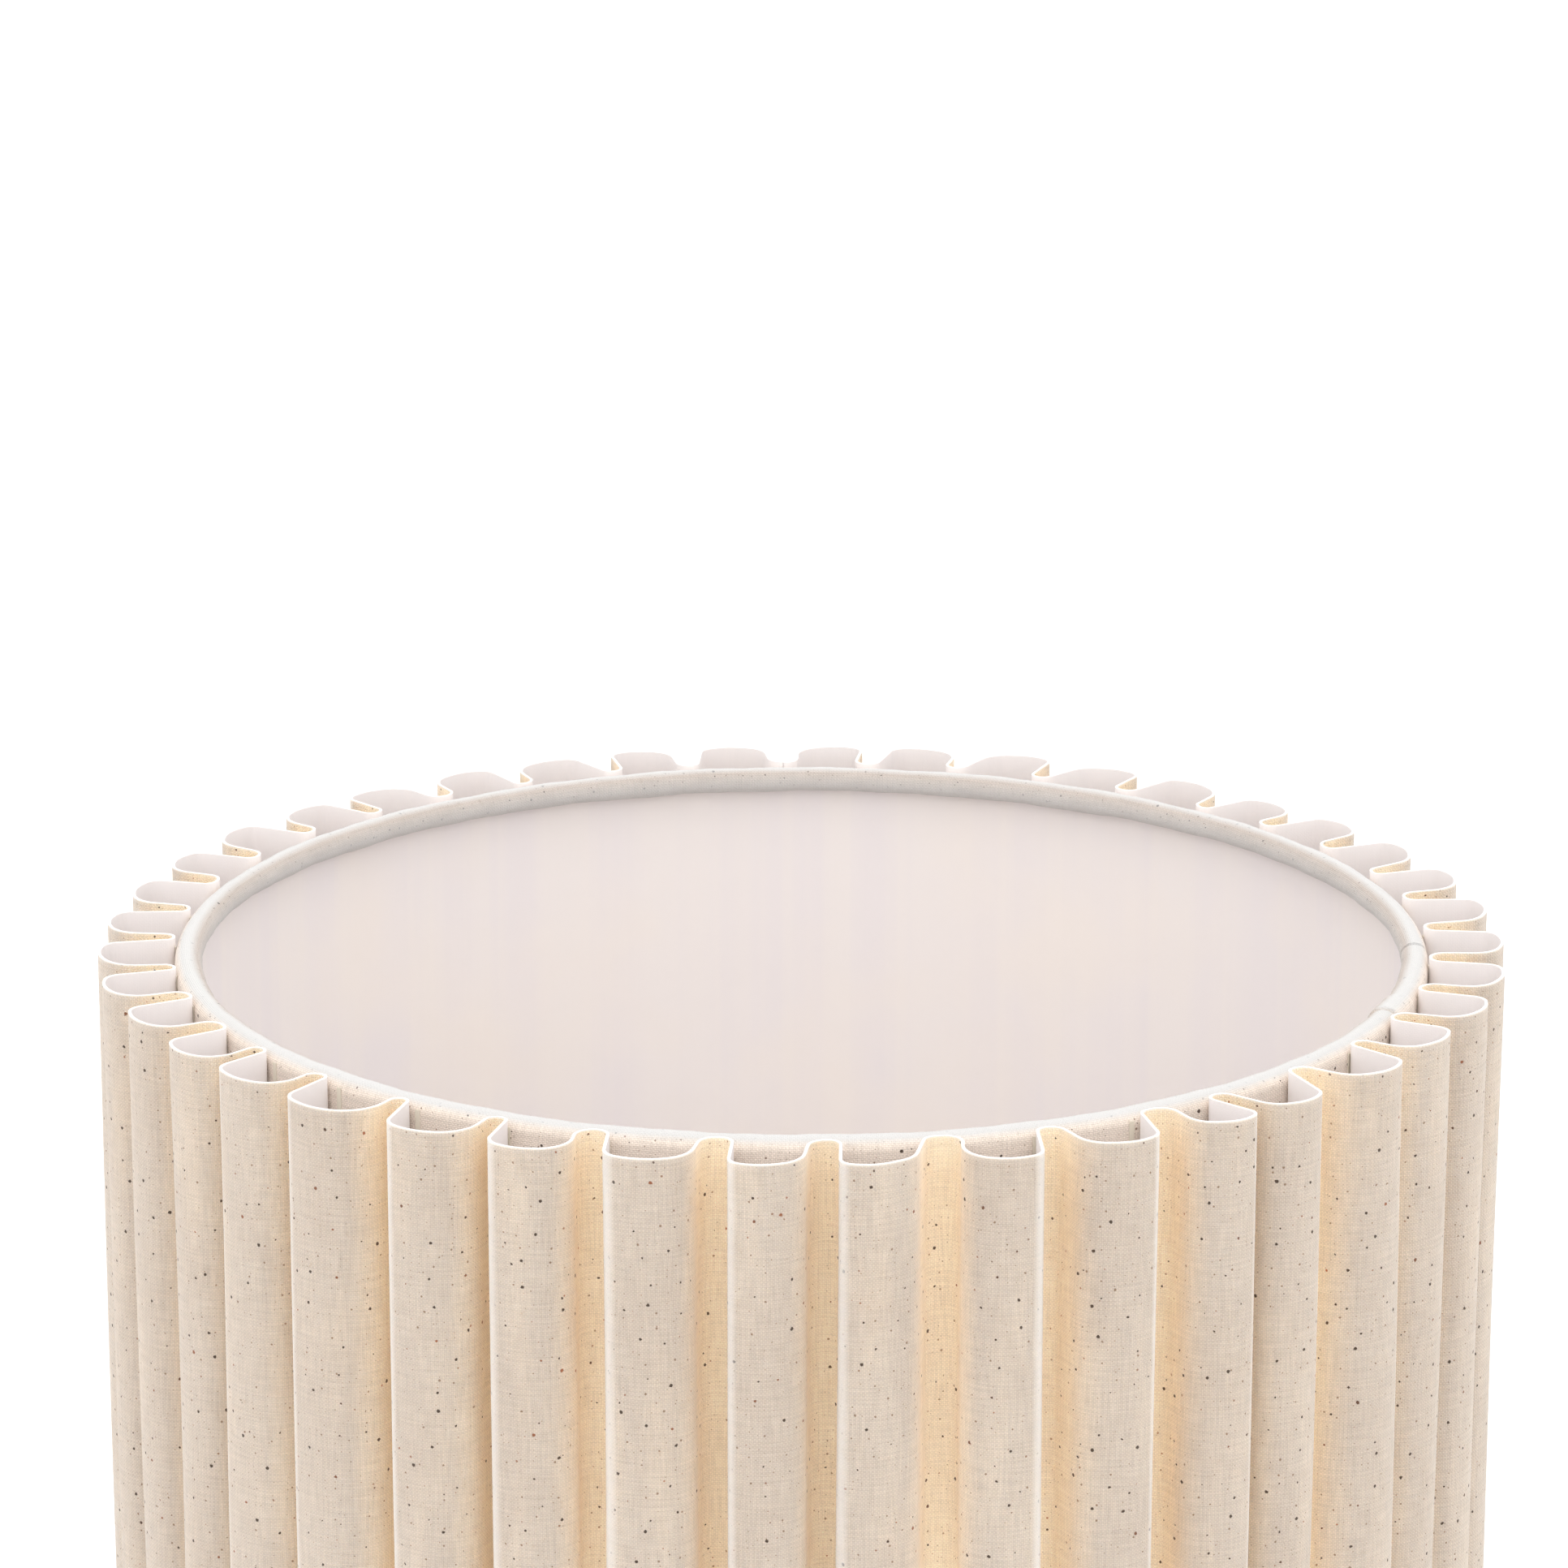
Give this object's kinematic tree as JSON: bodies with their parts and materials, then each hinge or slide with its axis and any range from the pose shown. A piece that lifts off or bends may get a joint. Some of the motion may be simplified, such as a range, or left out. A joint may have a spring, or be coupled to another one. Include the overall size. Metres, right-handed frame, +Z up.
{
  "type": "lamp shade",
  "caption": "Drum lamp shade in natural linen: a rolled-edge lined drum wrapped in deep round pleats, on wire rings with a ring fitter and a loose reducer ring.",
  "frame": {"origin": "centre of the base: on the drum's axis, in the plane that the pleats' lower edges stand on", "axes": "+Z up along the drum's axis; -Y is the front, through the middle of one pleat's crest; the drum's lap seam is to the right, towards +X"},
  "size_m": [0.28, 0.28, 0.2],
  "materials": {
    "natural_linen": "plain-woven natural linen with dark slubs and specks",
    "white_film": "matt white laminating film, semi-translucent",
    "clear_glue": "clear dried contact glue",
    "drum_linen": "plain-woven natural linen, lighter over the rolled edges",
    "styrene": "matt white styrene lining with a faint warm glow",
    "seam_tape": "double-sided tape",
    "white_wire": "white powder-coated steel wire",
    "white_steel": "white powder-coated pressed steel",
    "white_plastic": "moulded white plastic, satin"
  },
  "bodies": {
    "root": {"pleated_cover": "natural_linen", "pleat_backing": "white_film", "valley_glue": "clear_glue", "drum_linen": "drum_linen", "drum_liner": "styrene", "seam_tape": "seam_tape", "top_ring": "white_wire", "bottom_ring": "white_wire", "arm_1": "white_wire", "arm_2": "white_wire", "arm_3": "white_wire", "fitter_ring": "white_steel"},
    "reducer": {"reducer_ring": "white_plastic"}
  },
  "joints": [
    {"name": "reducer_lift", "type": "slide", "parent": "root", "child": "reducer", "axis": [0, 0, 1], "range_m": [0, 0.19]}
  ]
}
